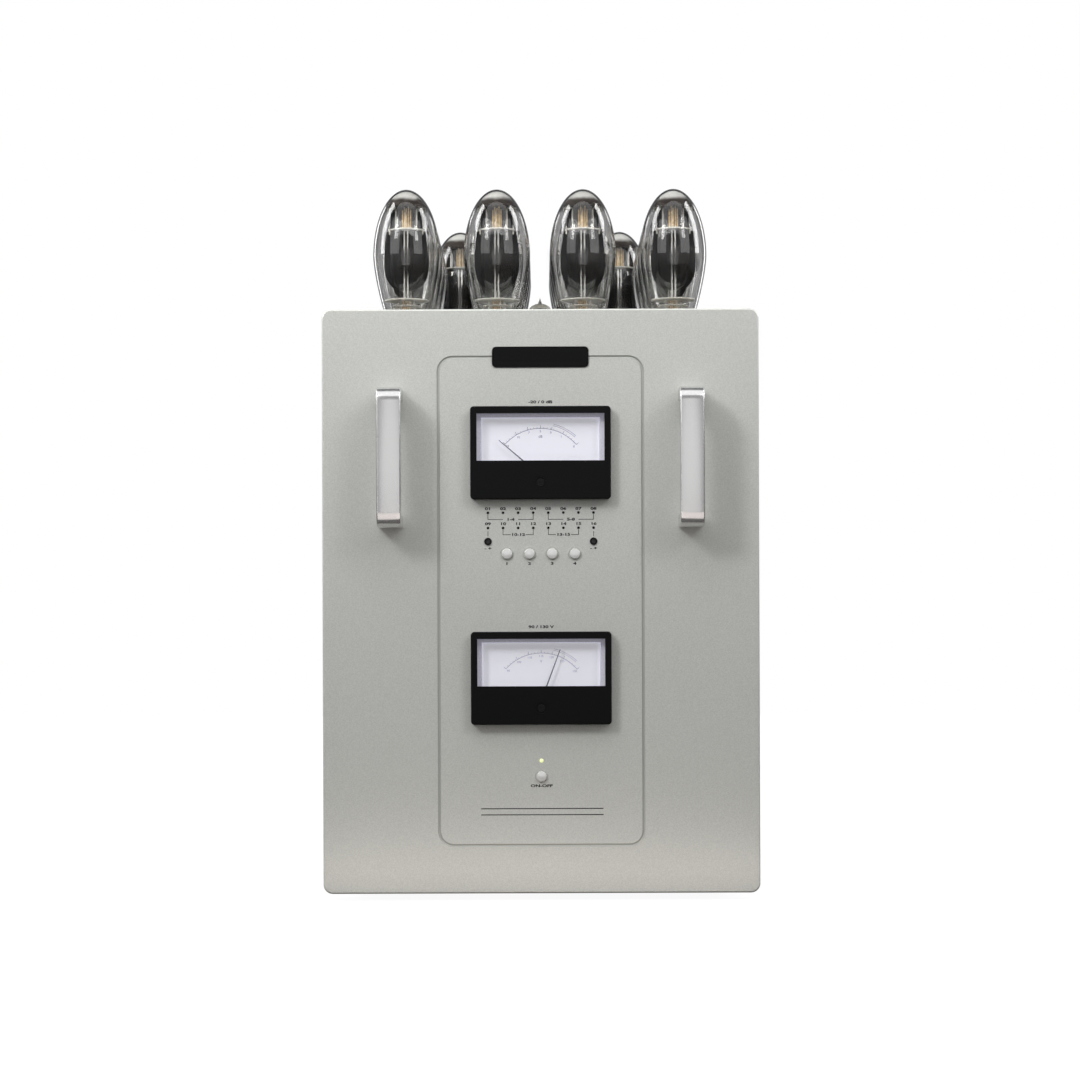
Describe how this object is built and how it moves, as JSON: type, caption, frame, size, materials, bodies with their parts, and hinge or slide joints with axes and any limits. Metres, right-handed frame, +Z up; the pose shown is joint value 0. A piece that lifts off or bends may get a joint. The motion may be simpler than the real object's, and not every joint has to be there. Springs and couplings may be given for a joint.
{
  "type": "monoblock tube amplifier",
  "caption": "Tall vacuum-tube monoblock power amplifier: thick aluminium front with moving-coil meters, push buttons and U-shaped handles, and a deck of egg-shaped tubes on a vented case.",
  "frame": {"origin": "on the floor, below the middle of the bounding box", "axes": "+X to the right seen from the front, the front panel faces -Y, +Z up"},
  "size_m": [0.368, 0.584, 0.622],
  "materials": {
    "panel_aluminium": "bead-blasted and clear anodised",
    "handle_aluminium": "satin anodised",
    "deck_aluminium": "satin anodised sheet",
    "post_aluminium": "milled",
    "black_sheet_metal": "satin powder coat",
    "screw_black": "black oxide",
    "foot_rubber": "matte",
    "black_gloss_plastic": "moulded, satin gloss",
    "black_plastic": "moulded, matte",
    "white_plastic": "moulded, matte",
    "clear_pane": "clear, polished",
    "dial_paint": "matte white with printed scale",
    "needle_black": "matte black lacquer",
    "button_metal": "polished",
    "lamp_dark": "smoked, unlit",
    "power_lamp_lens": "lit",
    "trimmer_steel": "slotted",
    "board_green": "solder resist",
    "gold_plate": "polished plate",
    "guard_wire": "nickel plated",
    "transformer_iron": "varnished",
    "capacitor_sleeve": "shrink sleeve",
    "bakelite": "moulded phenolic",
    "pin_steel": "tinned",
    "tube_glass": "blown, clear",
    "electrode_metal": "carbonised"
  },
  "bodies": {
    "case": {"front_panel": "panel_aluminium", "handle_left": "handle_aluminium", "handle_right": "handle_aluminium", "handle_bolts": "screw_black", "badge_plate": "black_gloss_plastic", "bottom_plate": "black_sheet_metal", "side_cover_left": "black_sheet_metal", "side_cover_right": "black_sheet_metal", "rear_panel": "black_sheet_metal", "top_deck": "deck_aluminium", "corner_posts": "post_aluminium", "case_screws": "screw_black", "feet": "foot_rubber", "foot_screws": "screw_black", "meter_cases": "white_plastic", "meter_bezels": "black_gloss_plastic", "meter_windows": "clear_pane", "meter_dials": "dial_paint", "meter_movements": "transformer_iron", "status_lamps": "lamp_dark", "power_lamp": "power_lamp_lens", "trimmer_bushings": "black_plastic", "control_boards": "board_green", "panel_switches": "black_plastic", "speaker_posts": "gold_plate", "mains_inlet": "black_plastic", "input_socket": "black_plastic", "fan_frames": "black_plastic", "fan_guards": "guard_wire", "power_transformer": "transformer_iron", "output_transformer": "transformer_iron", "filter_capacitors": "capacitor_sleeve", "main_board": "board_green", "tube_sockets": "bakelite", "power_tube_bases": "bakelite", "tube_pins": "pin_steel", "power_tube_glass": "tube_glass", "tube_electrodes": "electrode_metal", "signal_tube_glass": "tube_glass"},
    "output_needle": {"output_needle": "needle_black"},
    "line_needle": {"line_needle": "needle_black"},
    "output_zero_screw": {"output_zero_screw": "black_plastic"},
    "line_zero_screw": {"line_zero_screw": "black_plastic"},
    "fan_button": {"fan_button": "button_metal"},
    "light_button": {"light_button": "button_metal"},
    "bias_button": {"bias_button": "button_metal"},
    "meter_button": {"meter_button": "button_metal"},
    "power_button": {"power_button": "button_metal"},
    "left_bias_trimmer": {"left_bias_trimmer": "trimmer_steel"},
    "right_bias_trimmer": {"right_bias_trimmer": "trimmer_steel"},
    "speaker_washer_1": {"speaker_washer_1": "gold_plate"},
    "speaker_washer_2": {"speaker_washer_2": "gold_plate"},
    "speaker_washer_3": {"speaker_washer_3": "gold_plate"},
    "speaker_washer_4": {"speaker_washer_4": "gold_plate"},
    "speaker_nut_1": {"speaker_nut_1": "gold_plate"},
    "speaker_nut_2": {"speaker_nut_2": "gold_plate"},
    "speaker_nut_3": {"speaker_nut_3": "gold_plate"},
    "speaker_nut_4": {"speaker_nut_4": "gold_plate"},
    "left_fan_rotor": {"left_fan_rotor": "black_plastic"},
    "right_fan_rotor": {"right_fan_rotor": "black_plastic"}
  },
  "joints": [
    {"name": "output_needle_swing", "type": "hinge", "parent": "case", "child": "output_needle", "pos_m": [0, -0.254, 0.3576], "axis": [0, 1, 0], "range_deg": [0, 97], "stiffness_Nm_per_rad": 0.002},
    {"name": "line_needle_swing", "type": "hinge", "parent": "case", "child": "line_needle", "pos_m": [0, -0.254, 0.1683], "axis": [0, 1, 0], "range_deg": [-69.5, 28], "stiffness_Nm_per_rad": 0.002},
    {"name": "output_zero_turn", "type": "hinge", "parent": "case", "child": "output_zero_screw", "pos_m": [0, -0.262, 0.3516], "axis": [0, 1, 0], "range_deg": [-45, 45]},
    {"name": "line_zero_turn", "type": "hinge", "parent": "case", "child": "line_zero_screw", "pos_m": [0, -0.262, 0.1623], "axis": [0, 1, 0], "range_deg": [-45, 45]},
    {"name": "fan_button_press", "type": "slide", "parent": "case", "child": "fan_button", "axis": [0, 1, 0], "range_m": [0, 0.002], "stiffness_N_per_m": 400},
    {"name": "light_button_press", "type": "slide", "parent": "case", "child": "light_button", "axis": [0, 1, 0], "range_m": [0, 0.002], "stiffness_N_per_m": 400},
    {"name": "bias_button_press", "type": "slide", "parent": "case", "child": "bias_button", "axis": [0, 1, 0], "range_m": [0, 0.002], "stiffness_N_per_m": 400},
    {"name": "meter_button_press", "type": "slide", "parent": "case", "child": "meter_button", "axis": [0, 1, 0], "range_m": [0, 0.002], "stiffness_N_per_m": 400},
    {"name": "power_button_press", "type": "slide", "parent": "case", "child": "power_button", "axis": [0, 1, 0], "range_m": [0, 0.002], "stiffness_N_per_m": 400},
    {"name": "left_bias_turn", "type": "hinge", "parent": "case", "child": "left_bias_trimmer", "pos_m": [-0.04445, -0.254, 0.3023], "axis": [0, 1, 0], "range_deg": [-135, 135]},
    {"name": "right_bias_turn", "type": "hinge", "parent": "case", "child": "right_bias_trimmer", "pos_m": [0.04445, -0.254, 0.3023], "axis": [0, 1, 0], "range_deg": [-135, 135]},
    {"name": "speaker_1_travel", "type": "slide", "parent": "case", "child": "speaker_washer_1", "axis": [0, 1, 0], "range_m": [0, 0.00375]},
    {"name": "speaker_2_travel", "type": "slide", "parent": "case", "child": "speaker_washer_2", "axis": [0, 1, 0], "range_m": [0, 0.00375]},
    {"name": "speaker_3_travel", "type": "slide", "parent": "case", "child": "speaker_washer_3", "axis": [0, 1, 0], "range_m": [0, 0.00375]},
    {"name": "speaker_4_travel", "type": "slide", "parent": "case", "child": "speaker_washer_4", "axis": [0, 1, 0], "range_m": [0, 0.00375]},
    {"name": "speaker_1_turn", "type": "hinge", "parent": "speaker_washer_1", "child": "speaker_nut_1", "pos_m": [0.057, 0.27, 0.272], "axis": [0, 1, 0], "range_deg": [0, 1080]},
    {"name": "speaker_2_turn", "type": "hinge", "parent": "speaker_washer_2", "child": "speaker_nut_2", "pos_m": [0.019, 0.27, 0.272], "axis": [0, 1, 0], "range_deg": [0, 1080]},
    {"name": "speaker_3_turn", "type": "hinge", "parent": "speaker_washer_3", "child": "speaker_nut_3", "pos_m": [-0.019, 0.27, 0.272], "axis": [0, 1, 0], "range_deg": [0, 1080]},
    {"name": "speaker_4_turn", "type": "hinge", "parent": "speaker_washer_4", "child": "speaker_nut_4", "pos_m": [-0.057, 0.27, 0.272], "axis": [0, 1, 0], "range_deg": [0, 1080]},
    {"name": "left_fan_spin", "type": "hinge", "parent": "case", "child": "left_fan_rotor", "pos_m": [-0.08, 0.247, 0.382], "axis": [0, 1, 0], "continuous": true},
    {"name": "right_fan_spin", "type": "hinge", "parent": "case", "child": "right_fan_rotor", "pos_m": [0.08, 0.247, 0.382], "axis": [0, 1, 0], "continuous": true}
  ],
  "couplings": [
    {"joint": "speaker_1_turn", "follows": "speaker_1_travel", "rad_per_m": 5026.5},
    {"joint": "speaker_2_turn", "follows": "speaker_2_travel", "rad_per_m": 5026.5},
    {"joint": "speaker_3_turn", "follows": "speaker_3_travel", "rad_per_m": 5026.5},
    {"joint": "speaker_4_turn", "follows": "speaker_4_travel", "rad_per_m": 5026.5}
  ]
}
